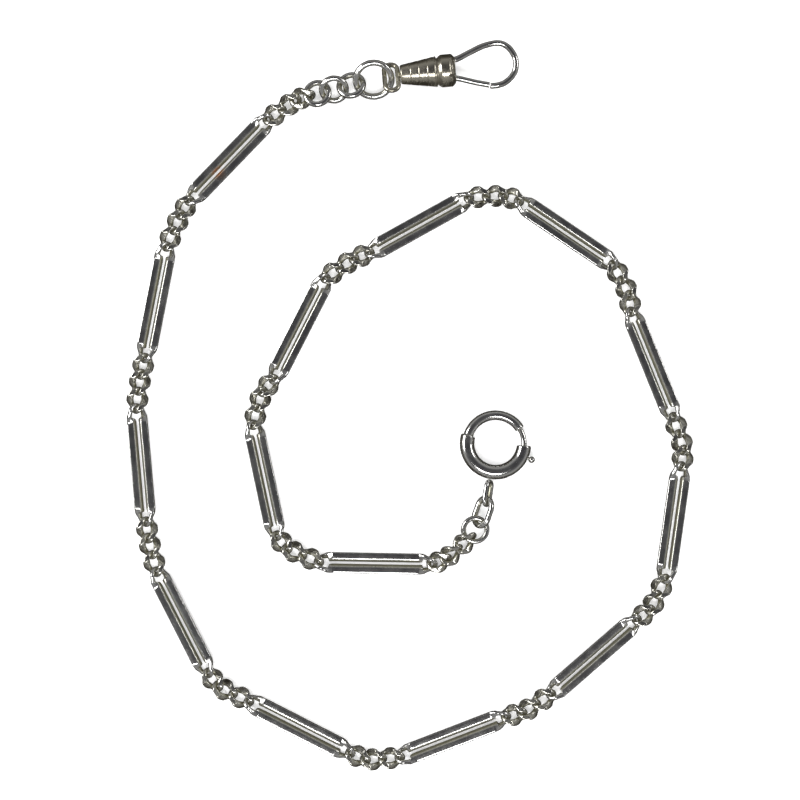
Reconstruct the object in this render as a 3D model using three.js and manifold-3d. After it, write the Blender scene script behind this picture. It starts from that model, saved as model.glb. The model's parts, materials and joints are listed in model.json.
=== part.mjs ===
// A gentleman's pocket watch chain: slotted bar links joined by runs of three twisted curb links,
// with a swivel dog clip on one end and a spring-loaded bolt ring on the other.
// It lies in a loose spiral on the plane z = 0. Millimetres, +Z up.
import * as THREE from 'three';
import { mergeVertices } from 'three/addons/utils/BufferGeometryUtils.js';
import Module from 'manifold-3d';

const wasm = await Module();
wasm.setup();

// ---- driving dimensions -------------------------------------------------------------------------

const LINK_PLAY = 0.18; // slack left between two hooked wires
const LEANING_PLAY = 0.12; // extra slack at each hook of a curb link that leans on edge
const WELD_BITE = 0.09; // how far the two curb links of a joined pair press into each other
const PAST = 1; // how far a cutting tool runs past the surface that it cuts

const CURB = {
  endWire: 0.38, // wire radius where the link hooks its neighbour
  sideWide: 0.5, // half width of the wire along the sides
  sideThick: 0.4, // half thickness of the wire along the sides
  halfLength: 1.7, // centre of the link to the centreline of its end bend
  bendRadius: 1.12, // centreline radius of the end bends
  twist: 45, // degrees that each end is turned out of the link's plane
  twistEnd: 1.0, // centre of the link to where that turn is complete
};

const BAR = {
  halfLength: 9.05,
  endWire: 0.34,
  bendRadius: 1.1,
  halfWidth: 1.56, // of the flat bar
  slotHalf: 0.3, // half width of the central slot
  halfThick: 0.44,
  notchStart: 7.0, // centre of the bar to where the slot widens into its round notch
  notchStep: 0.24, // length over which it widens
  squareness: 0.35, // exponent of the flat bar's section: 1 is round, 0 is square
  notchStrand: 0.4, // half width of the metal left on each side of the notch
  notchThick: 0.36,
  shoulder: 7.3, // centre of the bar to where its full width ends
  twist: 45,
  twistStart: 6.5, // centre of the bar to where its ends begin to turn
  twistEnd: 8.3,
};

const JUMP = { wire: 0.42, radii: [1.85, 1.85, 1.75] }; // the small jump rings at the clip
const LARGE = { wire: 0.46, radius: 2.7 }; // the large jump ring at the clip
const ROUND = { wire: 0.38, radius: 1.78 }; // the round ring at the bolt ring
const OVAL = { wire: 0.42, halfLength: 2.15, bendRadius: 1.5 }; // the oval ring next to it

const CLIP = {
  neckRadius: 1.42,
  mouthRadius: 2.3, // wide end of the cone, behind its groove
  coneLength: 5.45,
  grooveRadius: 2.0,
  grooveWidth: 0.25,
  collarRadius: 2.45,
  collarLength: 2.55,
  chamfer: 0.5,
  eyeWire: 0.36,
  eyeHalfLength: 1.0, // D-shaped swivel eye, along the clip
  eyeHalfWidth: 2.45,
  eyeOffset: -0.4, // clip axis to the middle of the eye, across
  eyeRoll: -30, // degrees
  stemRadius: 0.5,
  headRadius: 0.85,
  headLength: 0.5,
  stemLength: 1.7, // barrel's end face to the stem's head
  runningGap: 0.06,
  hookWire: 0.45,
  hookRoot: 1.3, // length of the hook's wire inside the collar
  hookLeg: 1.55, // clip axis to the hook's fixed leg, across
  gateWire: 0.42,
  gateRoot: 1.45, // collar's front face back to the end of the gate's root
  gateReach: 5.93, // gate pin to the gate's tip
  tipGap: 0.12, // between the gate's tip and the hook's
  slotDepth: 1.8, // of the gate's slot, back from the collar's front face
  slotTop: 0.45, // clip axis to the closed side of the gate's slot
  pinRadius: 0.28,
  pinDepth: 0.75, // collar's front face back to the gate pin
  pinOffset: -1.15, // clip axis to the gate pin, across
  gateEye: 0.64, // radius of the gate round its pin
  coilRadius: 0.56, // of the gate's torsion spring
  coilLength: 0.3,
};

const BOLT = {
  radius: 4.3, // of the ring's centreline
  sleeve: 1.1, // radius of the thick tube
  arc: 0.73, // radius of the thin arc
  wire: 0.4, // radius of the bolt
  bore: 0.5,
  sleeveFrom: 82, // degrees round the ring, from the side away from the chain
  boreEnd: 12, // degrees of solid metal behind the bore
  endPlay: 1, // degrees free at each end of the spring
  slotPlay: 4, // degrees of slot past the knob's post at each end of its travel
  sleeveTo: 275,
  gapTo: 310,
  bite: 6, // how far the closed bolt reaches into its socket
  socket: 9, // depth of that socket
  boltFrom: 206,
  knobAt: 255,
  travel: 42,
  knobPost: 0.2,
  knobBall: 0.5,
  knobLift: 1.65, // centre of the tube to the centre of the knob
  slotHalf: 0.3,
  eyeWire: 0.36,
  eyeHalfLength: 1.75,
  eyeHalfWidth: 0.85,
  eyeRoll: 62,
  solderGap: 0.05,
};

// Headings of the pieces along the chain, in degrees anticlockwise from +X, from the clip to the bolt
// ring. Each row of curb headings is a single link's and then a pair's, and each lies between two bars.
const CLIP_HEADINGS = { clip: 185, large: 195, rings: [191, 194, 192] };
const BAR_HEADINGS = [226, 259, 275, 297, 333, 381, 401, 442, 472, 506, 569, 603, 642, 719];
const CURB_HEADINGS = [
  [199, 214],
  [238, 246],
  [256, 262],
  [277, 284],
  [306, 334],
  [336, 364],
  [372, 393],
  [396, 424],
  [440, 468],
  [454, 478],
  [520, 544],
  [560, 574],
  [586, 614],
  [669, 697],
  [743, 761],
];
const BOLT_HEADINGS = { round: 781, oval: 791, bolt: 801 };

// The run at each end of the chain turns on edge to meet the rings, which lean left and right in turn.
const CLIP_RUN_ROLLS = [-25, -11];
const BOLT_RUN_ROLLS = [14, 27];
const RING_ROLLS = { large: -30, rings: [26, -34, 16], round: 6, oval: -50 };
const BOLT_PITCH = 4; // degrees that the last pieces climb towards the bolt ring's eye

// ---- shared geometry ----------------------------------------------------------------------------

const DEG = Math.PI / 180;
const signedPower = (value, power) => Math.sign(value) * Math.abs(value) ** power;

/** Leaves only positions, with shared vertices merged, so that the surface is closed. */
function closed(geometry) {
  const bare = geometry.index ? geometry.toNonIndexed() : geometry.clone();
  bare.deleteAttribute('normal');
  bare.deleteAttribute('uv');
  return mergeVertices(bare, 1e-5);
}

function toSolid(geometry) {
  const shape = closed(geometry);
  const vertProperties = new Float32Array(shape.attributes.position.array);
  const triVerts = new Uint32Array(shape.index.array);
  return new wasm.Manifold(new wasm.Mesh({ numProp: 3, vertProperties, triVerts }));
}

function fromSolid(solid) {
  const { vertProperties, triVerts } = solid.getMesh();
  const geometry = new THREE.BufferGeometry();
  geometry.setAttribute('position', new THREE.BufferAttribute(vertProperties, 3));
  geometry.setIndex(new THREE.BufferAttribute(triVerts, 1));
  return geometry;
}

const union = (...shapes) => fromSolid(shapes.map(toSolid).reduce((sum, solid) => sum.add(solid)));

/** A closed loop of wire. Each station has a centre (x, y), an outward normal angle and half sizes. */
function wireLoop(stations, sides) {
  const geometry = new THREE.TorusGeometry(1, 0.5, sides, stations.length);
  const { position, uv } = geometry.attributes;
  for (let i = 0; i < position.count; i += 1) {
    const station = stations[Math.round(uv.getX(i) * stations.length) % stations.length];
    const turn = (Math.round(uv.getY(i) * sides) % sides) / sides + station.sectionTurn;
    const out = station.wide * signedPower(Math.cos(turn * 2 * Math.PI), station.squareness);
    const up = station.thick * signedPower(Math.sin(turn * 2 * Math.PI), station.squareness);
    const x = station.x + out * Math.cos(station.normal);
    const y = station.y + out * Math.sin(station.normal);
    position.setXYZ(i, x, y, up);
  }
  return closed(geometry);
}

/** Stations round one end bend, from its side at -y to its side at +y (at the +x end). */
function bendStations({ centre, radius, end, steps, wire }) {
  return Array.from({ length: steps + 1 }, (_, i) => {
    const normal = (-90 + (180 * i) / steps + (end < 0 ? 180 : 0)) * DEG;
    const x = end * centre + radius * Math.cos(normal);
    const y = radius * Math.sin(normal);
    return { x, y, normal, wide: wire, thick: wire, squareness: 1, sectionTurn: 0 };
  });
}

/** Stations along the side of a loop that runs towards -x at +y, or back at -y. */
function sideStations(places, side) {
  return places.map(({ x, y, wide, thick, squareness = 1, sectionTurn = 0 }) => {
    return { x: -side * x, y: side * y, normal: side * 90 * DEG, wide, thick, squareness, sectionTurn };
  });
}

/** A loop with round ends and straight sides, such as a curb link or an oval ring. */
function ovalLoop({ halfLength, bendRadius, wire, sides = 6, steps = 4, places = [] }) {
  const bend = { centre: halfLength - bendRadius, radius: bendRadius, steps, wire };
  const stations = [
    ...bendStations({ ...bend, end: 1 }),
    ...sideStations(places, 1),
    ...bendStations({ ...bend, end: -1 }),
    ...sideStations(places, -1),
  ];
  return wireLoop(stations, sides);
}

function roundRing({ radius, wire }) {
  return closed(new THREE.TorusGeometry(radius, wire, 6, 16));
}

/** Turns each cross section about the x axis, by an angle that grows towards both ends. */
function twisted(geometry, { twist, twistStart = 0, twistEnd }) {
  const { position } = geometry.attributes;
  const point = new THREE.Vector3();
  const axis = new THREE.Vector3(1, 0, 0);
  for (let i = 0; i < position.count; i += 1) {
    point.fromBufferAttribute(position, i);
    const share = (Math.abs(point.x) - twistStart) / (twistEnd - twistStart);
    const angle = Math.sign(point.x) * twist * DEG * THREE.MathUtils.clamp(share, 0, 1);
    point.applyAxisAngle(axis, angle);
    position.setXYZ(i, point.x, point.y, point.z);
  }
  return geometry;
}

class RingArc extends THREE.Curve {
  constructor(radius, from, to) {
    super();
    Object.assign(this, { radius, from, to });
  }

  getPoint(t, target = new THREE.Vector3()) {
    const angle = (this.from + (this.to - this.from) * t) * DEG;
    return target.set(this.radius * Math.cos(angle), this.radius * Math.sin(angle), 0);
  }
}

/** A round bar of the given radius along a curve, closed at both ends. */
function wireAlong(path, radius, sides, steps) {
  const section = new THREE.Shape();
  for (let i = 0; i < sides; i += 1) {
    const angle = (i / sides) * 2 * Math.PI;
    const method = i === 0 ? 'moveTo' : 'lineTo';
    section[method](radius * Math.cos(angle), radius * Math.sin(angle));
  }
  section.closePath();
  return new THREE.ExtrudeGeometry(section, { extrudePath: path, steps, bevelEnabled: false });
}

/** A solid turned about the x axis from [x, radius] points that start and end on the axis. */
function turned(points, segments) {
  const profile = points.map(([x, radius]) => new THREE.Vector2(radius, x));
  return closed(new THREE.LatheGeometry(profile, segments).rotateZ(-Math.PI / 2));
}

// ---- links and rings ----------------------------------------------------------------------------

function curbLink() {
  const places = [{ x: 0, y: CURB.bendRadius, wide: CURB.sideWide, thick: CURB.sideThick }];
  const { halfLength, bendRadius, endWire } = CURB;
  const loop = ovalLoop({ halfLength, bendRadius, wire: endWire, places });
  return twisted(loop, CURB);
}

/** Two curb links hooked through each other and pressed together, the second one half a pitch ahead. */
function curbPair() {
  const half = curbPairPitch() / 2;
  return union(curbLink().translate(-half, 0, 0), curbLink().translate(half, 0, 0));
}

const curbPairPitch = () => 2 * (CURB.halfLength - CURB.endWire) + WELD_BITE;

function barLink() {
  const { halfWidth, slotHalf, halfThick, notchStart, notchStep, endWire, bendRadius, halfLength } = BAR;
  const boxy = { thick: halfThick, squareness: BAR.squareness, sectionTurn: 1 / 16 };
  const flat = { y: (halfWidth + slotHalf) / 2, wide: (halfWidth - slotHalf) / 2, ...boxy };
  const beside = { y: halfWidth - BAR.notchStrand, wide: BAR.notchStrand, ...boxy, thick: BAR.notchThick };
  const ends = [
    { x: -BAR.shoulder, ...beside },
    { x: -notchStart - notchStep, ...beside },
    { x: -notchStart, ...flat },
    { x: -BAR.twistStart, ...flat },
  ];
  const places = [...ends, ...ends.map((place) => ({ ...place, x: -place.x })).reverse()];
  const loop = ovalLoop({ halfLength, bendRadius, wire: endWire, sides: 8, places });
  return twisted(loop, BAR);
}

// ---- dog clip: x = 0 at the barrel's chain end, +x towards the hook -----------------------------

const collarFace = CLIP.coneLength + CLIP.grooveWidth + CLIP.collarLength;
const pinPlace = { x: collarFace - CLIP.pinDepth, y: CLIP.pinOffset };

const eyeSetBack = CLIP.runningGap + CLIP.eyeWire + CLIP.eyeHalfLength; // end face to the eye's middle

function swivelEye() {
  const { eyeWire, eyeHalfLength, eyeHalfWidth, runningGap } = CLIP;
  const { stemRadius, headRadius, headLength, stemLength } = CLIP;
  const places = [{ x: 0, y: eyeHalfLength, wide: eyeWire, thick: eyeWire }];
  const loop = ovalLoop({
    halfLength: eyeHalfWidth,
    bendRadius: eyeHalfLength,
    wire: eyeWire,
    places,
  });
  loop.rotateZ(Math.PI / 2).translate(-eyeSetBack, CLIP.eyeOffset, 0).rotateX(CLIP.eyeRoll * DEG);
  const stem = turned(
    [
      [-eyeWire - runningGap, 0],
      [-eyeWire - runningGap, stemRadius],
      [stemLength, stemRadius],
      [stemLength, headRadius],
      [stemLength + headLength, headRadius],
      [stemLength + headLength, 0],
    ],
    12,
  );
  return union(loop, stem);
}

function barrel() {
  const { neckRadius, mouthRadius, coneLength, grooveRadius, grooveWidth, collarRadius } = CLIP;
  const { chamfer, stemRadius, headRadius, headLength, stemLength, runningGap } = CLIP;
  const collarStart = coneLength + grooveWidth;
  const shell = turned(
    [
      [0, 0],
      [0, neckRadius],
      [coneLength, mouthRadius],
      [coneLength, grooveRadius],
      [collarStart, grooveRadius],
      [collarStart, collarRadius - chamfer / 2],
      [collarStart + chamfer, collarRadius],
      [collarFace - chamfer, collarRadius],
      [collarFace, collarRadius - chamfer],
      [collarFace, 0],
    ],
    24,
  );
  const seat = turned(
    [
      [-PAST, 0],
      [-PAST, stemRadius + runningGap],
      [stemLength - runningGap, stemRadius + runningGap],
      [stemLength - runningGap, headRadius + runningGap],
      [stemLength + headLength + runningGap, headRadius + runningGap],
      [stemLength + headLength + runningGap, 0],
    ],
    12,
  );
  const hookSocket = new THREE.CylinderGeometry(
    CLIP.hookWire + runningGap,
    CLIP.hookWire + runningGap,
    CLIP.hookRoot + PAST,
    12,
  );
  const socketMiddle = collarFace + (PAST - CLIP.hookRoot) / 2;
  hookSocket.rotateZ(Math.PI / 2).translate(socketMiddle, CLIP.hookLeg, 0);
  const slot = gateSlot();
  const pinHole = roundThePin(CLIP.pinRadius + runningGap, -2 * collarRadius, 2 * collarRadius);
  const cut = [seat, hookSocket, slot, pinHole].map(toSolid);
  return fromSolid(cut.reduce((body, tool) => body.subtract(tool), toSolid(shell)));
}

const gateSlotHalf = CLIP.gateWire + CLIP.runningGap;

/** The slot in the collar that the gate's root and its spring lie in, open at the front and below. */
function gateSlot() {
  const { slotDepth, slotTop, collarRadius } = CLIP;
  const height = slotTop + collarRadius + PAST;
  const box = new THREE.BoxGeometry(slotDepth + PAST, height, 2 * gateSlotHalf);
  return box.translate(collarFace + (PAST - slotDepth) / 2, slotTop - height / 2, 0);
}

/** A smooth curve through [x, y] points that are measured from the collar's front face. */
function clipCurve(route) {
  return new THREE.CatmullRomCurve3(route.map(([x, y]) => new THREE.Vector3(x + collarFace, y, 0)));
}

/** The teardrop that the hook bends round, from its root in the collar to its tip below. */
function hook() {
  const route = [
    [-CLIP.hookRoot + CLIP.runningGap, CLIP.hookLeg],
    [0, CLIP.hookLeg],
    [0.8, 1.75],
    [2.4, 2.42],
    [4.66, 3.25],
    [6.86, 3.45],
    [8.24, 2.67],
    [9.1, 1.13],
    [9.12, -0.33],
    [8.6, -1.5],
    [7.4, -2.5],
    [6.2, -2.85],
    [4.9, -2.85],
  ];
  const wire = wireAlong(clipCurve(route), CLIP.hookWire, 8, 28);
  const { hookWire, gateReach, tipGap } = CLIP;
  const swept = toSolid(roundThePin(gateReach + tipGap, -2 * hookWire, 2 * hookWire, 72));
  const below = new THREE.BoxGeometry(2 * gateReach, gateReach, 2 * gateReach);
  below.translate(pinPlace.x + gateReach, pinPlace.y - gateReach / 2 - PAST, 0);
  return fromSolid(toSolid(wire).subtract(swept.intersect(toSolid(below))));
}

function gate() {
  const route = [
    [-CLIP.gateRoot, -1.0],
    [-CLIP.pinDepth, CLIP.pinOffset],
    [0.4, -1.34],
    [2.74, -2.09],
    [5.4, -2.85],
  ];
  const { gateWire, gateEye, gateReach, pinRadius, runningGap } = CLIP;
  const leg = wireAlong(clipCurve(route), gateWire, 8, 10);
  const swept = roundThePin(gateReach, -PAST, PAST, 72);
  const eye = roundThePin(gateEye, -gateWire, gateWire);
  const hole = roundThePin(pinRadius + runningGap, -PAST, PAST);
  const coilPocket = roundThePin(gateEye + runningGap, coilStart - runningGap, PAST);
  const body = toSolid(leg).intersect(toSolid(swept)).add(toSolid(eye));
  return fromSolid(body.subtract(toSolid(hole)).subtract(toSolid(coilPocket)));
}

const coilStart = CLIP.gateWire - CLIP.coilLength;

/** A cylinder on the gate pin's axis, from one height to another. */
function roundThePin(radius, from, to, segments = 12) {
  const cylinder = new THREE.CylinderGeometry(radius, radius, to - from, segments);
  return cylinder.rotateX(Math.PI / 2).translate(pinPlace.x, pinPlace.y, (from + to) / 2);
}

function gatePin() {
  const reach = Math.sqrt(CLIP.collarRadius ** 2 - CLIP.pinOffset ** 2) - CLIP.pinRadius / 2;
  return closed(roundThePin(CLIP.pinRadius, -reach, reach));
}

/** The torsion spring beside the gate on its pin, as the plain sleeve that its coils fill. */
function gateSpring() {
  const coil = toSolid(roundThePin(CLIP.coilRadius, coilStart, CLIP.gateWire));
  return fromSolid(coil.subtract(toSolid(roundThePin(CLIP.pinRadius + CLIP.runningGap, -PAST, PAST))));
}

// ---- bolt ring: centred on its own axis, -x towards the chain -----------------------------------

function boltTube() {
  const { radius, sleeve, arc, bore, sleeveFrom, sleeveTo, gapTo, socket, slotHalf } = BOLT;
  const overlap = 2;
  const sleeveArc = wireAlong(new RingArc(radius, sleeveFrom, sleeveTo), sleeve, 10, 20);
  const thinArc = wireAlong(new RingArc(radius, gapTo - 360, sleeveFrom + overlap), arc, 8, 14);
  const boreArc = wireAlong(new RingArc(radius, sleeveFrom + BOLT.boreEnd, sleeveTo + overlap), bore, 8, 20);
  const socketArc = wireAlong(new RingArc(radius, gapTo - overlap, gapTo + socket), bore, 8, 2);
  const slotSteps = 8;
  const slotFrom = BOLT.knobAt - BOLT.travel - BOLT.slotPlay;
  const slotTo = BOLT.knobAt + BOLT.slotPlay;
  const slotPoints = [];
  for (let i = 0; i <= slotSteps; i += 1) {
    slotPoints.push([radius, slotFrom + ((slotTo - slotFrom) * i) / slotSteps]);
  }
  for (let i = slotSteps; i >= 0; i -= 1) {
    slotPoints.push([radius + 2 * sleeve, slotFrom + ((slotTo - slotFrom) * i) / slotSteps]);
  }
  const outline = slotPoints.map(([r, angle]) => {
    return new THREE.Vector2(r * Math.cos(angle * DEG), r * Math.sin(angle * DEG));
  });
  const slot = new THREE.ExtrudeGeometry(new THREE.Shape(outline), {
    depth: 2 * slotHalf,
    bevelEnabled: false,
  }).translate(0, 0, -slotHalf);
  const cuts = [boreArc, socketArc, slot].map(toSolid);
  const tube = toSolid(sleeveArc).add(toSolid(thinArc));
  return fromSolid(cuts.reduce((body, tool) => body.subtract(tool), tube));
}

function boltAndKnob() {
  const { radius, wire, boltFrom, gapTo, bite, knobAt, knobPost, knobBall, knobLift } = BOLT;
  const knobRadius = radius + knobLift;
  const bolt = wireAlong(new RingArc(radius, boltFrom, gapTo + bite), wire, 8, 14);
  const post = new THREE.CylinderGeometry(knobPost, knobPost, knobRadius - radius, 8);
  post.rotateZ(-Math.PI / 2).translate((knobRadius + radius) / 2, 0, 0).rotateZ(knobAt * DEG);
  const ball = new THREE.SphereGeometry(knobBall, 10, 8);
  ball.translate(knobRadius, 0, 0).rotateZ(knobAt * DEG);
  return union(bolt, post, ball);
}

/** The coil spring behind the bolt, as the plain round bar that its coils fill. */
function boltSpring() {
  const from = BOLT.sleeveFrom + BOLT.boreEnd + BOLT.endPlay;
  return closed(wireAlong(new RingArc(BOLT.radius, from, BOLT.boltFrom - BOLT.endPlay), BOLT.wire, 8, 12));
}

const boltEyeCentre = BOLT.radius + BOLT.sleeve + BOLT.solderGap + BOLT.eyeHalfLength + BOLT.eyeWire;

const boltEyeReach = boltEyeCentre + BOLT.eyeHalfLength - BOLT.eyeWire - LINK_PLAY / 2;

function boltEye() {
  const { eyeHalfLength, eyeHalfWidth, eyeWire, eyeRoll } = BOLT;
  const loop = ovalLoop({ halfLength: eyeHalfLength, bendRadius: eyeHalfWidth, wire: eyeWire });
  return loop.rotateX(eyeRoll * DEG).translate(-boltEyeCentre, 0, 0);
}

// ---- laying the chain out -----------------------------------------------------------------------

const metal = (color, roughness) => new THREE.MeshStandardMaterial({ color, roughness, metalness: 0.95 });
const materials = {
  bar: metal(0x8f8e89, 0.28),
  curb: metal(0x83817a, 0.34),
  ring: metal(0x8a8982, 0.3),
  clip: metal(0x77736a, 0.38),
  bolt: metal(0x8b8a85, 0.26),
  spring: metal(0x6f6c66, 0.45),
};

/** One rigid piece of the chain: where it hooks the piece before it and the piece after it. */
const piece = (name, reach, heading, rest) => ({ name, reach, heading, roll: 0, pitch: 0, ...rest });
const two = (number) => String(number).padStart(2, '0');

const innerEnd = ({ halfLength, endWire }) => halfLength - endWire - LINK_PLAY / 2;
const ringEnd = ({ radius, wire }) => radius - wire - LINK_PLAY / 2;
const linkHeight = CURB.bendRadius * 0.4 + CURB.sideThick;

const clipEyeReach = eyeSetBack + CLIP.eyeHalfLength - CLIP.eyeWire - LINK_PLAY / 2;
const pairReach = innerEnd(CURB) + curbPairPitch() / 2;
const leaningRun = 2 * (innerEnd(CURB) - LEANING_PLAY) + 2 * (pairReach - LEANING_PLAY);
const jumpEnds = JUMP.radii.map((radius) => ringEnd({ radius, wire: JUMP.wire }));
const jumpRun = 2 * jumpEnds.reduce((sum, end) => sum + end);
const clipRun = jumpRun + 2 * ringEnd(LARGE) + leaningRun;
const clipPitch = Math.asin((CLIP.collarRadius - linkHeight) / clipRun) / DEG;
const ovalEnd = OVAL.halfLength - OVAL.wire - LINK_PLAY / 2;
const boltRun = leaningRun + 2 * ringEnd(ROUND) + 2 * ovalEnd;
const boltEyeHeight = linkHeight + boltRun * Math.sin(BOLT_PITCH * DEG);
const boltTilt = Math.asin((boltEyeHeight - BOLT.sleeve) / (boltEyeReach + BOLT.sleeve)) / DEG;

/** Every piece from the large jump ring to the oval ring, in order. */
function chainPieces() {
  const ring = (shape) => ({ shape, look: 'ring' });
  const down = { pitch: -clipPitch };
  const up = { pitch: BOLT_PITCH };
  const large = { ...ring(() => roundRing(LARGE)), ...down, roll: RING_ROLLS.large };
  const pieces = [piece('large_jump_ring', ringEnd(LARGE), CLIP_HEADINGS.large, large)];
  CLIP_HEADINGS.rings.forEach((heading, i) => {
    const shape = () => roundRing({ radius: JUMP.radii[i], wire: JUMP.wire });
    const jump = { ...ring(shape), ...down, roll: RING_ROLLS.rings[i] };
    pieces.push(piece(`jump_ring_${i + 1}`, jumpEnds[i], heading, jump));
  });
  CURB_HEADINGS.forEach(([singleHeading, pairHeading], run) => {
    const { pitch, rolls, play } = runTilt(run);
    const single = { shape: curbLink, look: 'curb', pitch, roll: rolls[0] };
    const pair = { shape: curbPair, look: 'curb', pitch, roll: rolls[1] };
    pieces.push(piece(`curb_link_${two(run)}`, innerEnd(CURB) - play, singleHeading, single));
    pieces.push(piece(`curb_pair_${two(run)}`, pairReach - play, pairHeading, pair));
    if (run < BAR_HEADINGS.length) {
      const bar = { shape: barLink, look: 'bar' };
      pieces.push(piece(`bar_link_${two(run + 1)}`, innerEnd(BAR), BAR_HEADINGS[run], bar));
    }
  });
  const round = { ...ring(() => roundRing(ROUND)), ...up, roll: RING_ROLLS.round };
  const oval = { ...ring(() => ovalLoop(OVAL)), ...up, roll: RING_ROLLS.oval };
  pieces.push(piece('round_ring', ringEnd(ROUND), BOLT_HEADINGS.round, round));
  pieces.push(piece('oval_ring', ovalEnd, BOLT_HEADINGS.oval, oval));
  return pieces;
}

/** How a run of curb links leans: flat between bars, but climbing and on edge at the chain's ends. */
function runTilt(run) {
  if (run === 0) {
    return { pitch: -clipPitch, rolls: CLIP_RUN_ROLLS, play: LEANING_PLAY };
  }
  if (run === CURB_HEADINGS.length - 1) {
    return { pitch: BOLT_PITCH, rolls: BOLT_RUN_ROLLS, play: LEANING_PLAY };
  }
  return { pitch: 0, rolls: [0, 0], play: 0 };
}

function named(name, geometry, look) {
  const mesh = new THREE.Mesh(closed(geometry), materials[look].clone());
  mesh.geometry.computeVertexNormals();
  mesh.name = name;
  return mesh;
}

function orient(object, heading, pitch = 0, roll = 0) {
  object.rotation.set(roll * DEG, -pitch * DEG, heading * DEG, 'ZYX');
  return object;
}

/** Puts each piece after the one before it, hooked at the point that both reach. */
function layOut(chain) {
  const clip = new THREE.Group();
  clip.add(
    named('swivel_eye', swivelEye(), 'clip'),
    named('clip_barrel', barrel(), 'clip'),
    named('clip_hook', hook(), 'bar'),
    named('clip_gate', gate(), 'bar'),
    named('gate_pin', gatePin(), 'clip'),
    named('gate_spring', gateSpring(), 'spring'),
  );
  clip.position.z = CLIP.collarRadius;
  chain.add(orient(clip, CLIP_HEADINGS.clip + 180));
  clip.updateMatrix();
  const hookPoint = new THREE.Vector3(-clipEyeReach, 0, 0).applyMatrix4(clip.matrix);

  const ahead = new THREE.Vector3();
  for (const { name, reach, heading, pitch, roll, shape, look } of chainPieces()) {
    const mesh = orient(named(name, shape(), look), heading, pitch, roll);
    ahead.set(reach, 0, 0).applyEuler(mesh.rotation);
    mesh.userData.hookedAt = hookPoint.clone();
    mesh.position.copy(hookPoint).add(ahead);
    hookPoint.copy(mesh.position).add(ahead);
    chain.add(mesh);
  }

  const boltRing = orient(new THREE.Group(), BOLT_HEADINGS.bolt, -boltTilt);
  boltRing.userData.hookedAt = hookPoint.clone();
  ahead.set(boltEyeReach, 0, 0).applyEuler(boltRing.rotation);
  boltRing.position.copy(hookPoint).add(ahead);
  boltRing.add(
    named('bolt_ring_tube', boltTube(), 'bolt'),
    named('bolt_and_knob', boltAndKnob(), 'bolt'),
    named('bolt_spring', boltSpring(), 'spring'),
    named('bolt_ring_eye', boltEye(), 'ring'),
  );
  chain.add(boltRing);
}

const watchChain = new THREE.Group();
layOut(watchChain);

// The origin is the middle of the surface that the chain lies on.
const extent = new THREE.Box3().setFromObject(watchChain, true);
const middle = extent.getCenter(new THREE.Vector3());
watchChain.position.set(-middle.x, -middle.y, -extent.min.z);

export default watchChain;
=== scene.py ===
"""The looks of a gentleman's pocket watch chain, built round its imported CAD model.

Every link, ring and fitting is a fine mesh that stands for its CAD node and rides on its body.
Shapes are made in millimetres, in the piece's own frame (x along the chain, from the dog clip to
the bolt ring), and are put where the record's joints say that the piece hooks its neighbours.
"""

import json
import math

import bmesh
import bpy
import numpy as np
from mathutils import Matrix, Vector

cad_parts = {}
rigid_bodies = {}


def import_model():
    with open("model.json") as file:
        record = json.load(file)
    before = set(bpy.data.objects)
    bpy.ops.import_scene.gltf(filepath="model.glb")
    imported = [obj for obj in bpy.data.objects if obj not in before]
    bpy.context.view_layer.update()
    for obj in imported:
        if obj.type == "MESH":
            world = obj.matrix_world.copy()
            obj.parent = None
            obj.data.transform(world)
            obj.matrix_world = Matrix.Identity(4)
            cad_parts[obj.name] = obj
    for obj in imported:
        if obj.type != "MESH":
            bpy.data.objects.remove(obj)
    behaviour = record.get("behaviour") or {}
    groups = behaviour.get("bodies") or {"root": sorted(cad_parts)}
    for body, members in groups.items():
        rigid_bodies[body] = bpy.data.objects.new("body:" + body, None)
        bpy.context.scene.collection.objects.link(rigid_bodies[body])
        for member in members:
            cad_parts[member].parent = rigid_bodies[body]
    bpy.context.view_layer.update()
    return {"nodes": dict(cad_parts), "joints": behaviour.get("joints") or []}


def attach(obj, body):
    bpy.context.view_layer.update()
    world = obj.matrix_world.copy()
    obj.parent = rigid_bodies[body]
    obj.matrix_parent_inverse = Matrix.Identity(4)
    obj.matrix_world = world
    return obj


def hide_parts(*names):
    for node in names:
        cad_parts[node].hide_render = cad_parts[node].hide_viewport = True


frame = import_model()

MM = 0.001
DEG = math.pi / 180
TURN = 2 * math.pi

# ---- sizes, in millimetres ------------------------------------------------------------------------

LINK_PLAY = 0.18

CURB = dict(
    end_wire=0.38,
    side_wide=0.54,
    side_thick=0.4,
    side_end=1.15,  # middle of the link to where its broad sides end
    side_taper=0.75,  # length over which they narrow to there
    squareness=0.55,
    filed=0.89,  # half the height between the flats that filing and wear leave on top and below
    half_length=1.7,
    bend_radius=1.12,
    twist=45,
    twist_start=0,
    twist_end=1.0,
)
CURB_PAIR_PITCH = 2.73

BAR = dict(
    end_wire=0.34,
    half_length=9.05,
    bend_radius=1.1,
    half_width=1.56,
    slot_half=0.3,
    half_thick=0.44,
    notch_start=7.0,
    notch_step=0.24,
    notch_strand=0.4,
    shoulder=7.3,
    twist=45,
    twist_start=6.5,
    twist_end=8.3,
    squareness=0.35,
    wall_draft=0.2,  # how far the slot's walls lean back from bottom to top
)

RINGS = {
    "large_jump_ring": dict(wire=0.46, radius=2.7, roll=-30),
    "jump_ring_1": dict(wire=0.42, radius=1.85, roll=26),
    "jump_ring_2": dict(wire=0.42, radius=1.85, roll=-34),
    "jump_ring_3": dict(wire=0.42, radius=1.75, roll=16),
    "round_ring": dict(wire=0.38, radius=1.78, roll=6),
}
OVAL = dict(wire=0.42, half_length=2.15, bend_radius=1.5, roll=-50)
CURB_ROLLS = {"curb_link_00": -25, "curb_pair_00": -11, "curb_link_14": 14, "curb_pair_14": 27}

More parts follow.
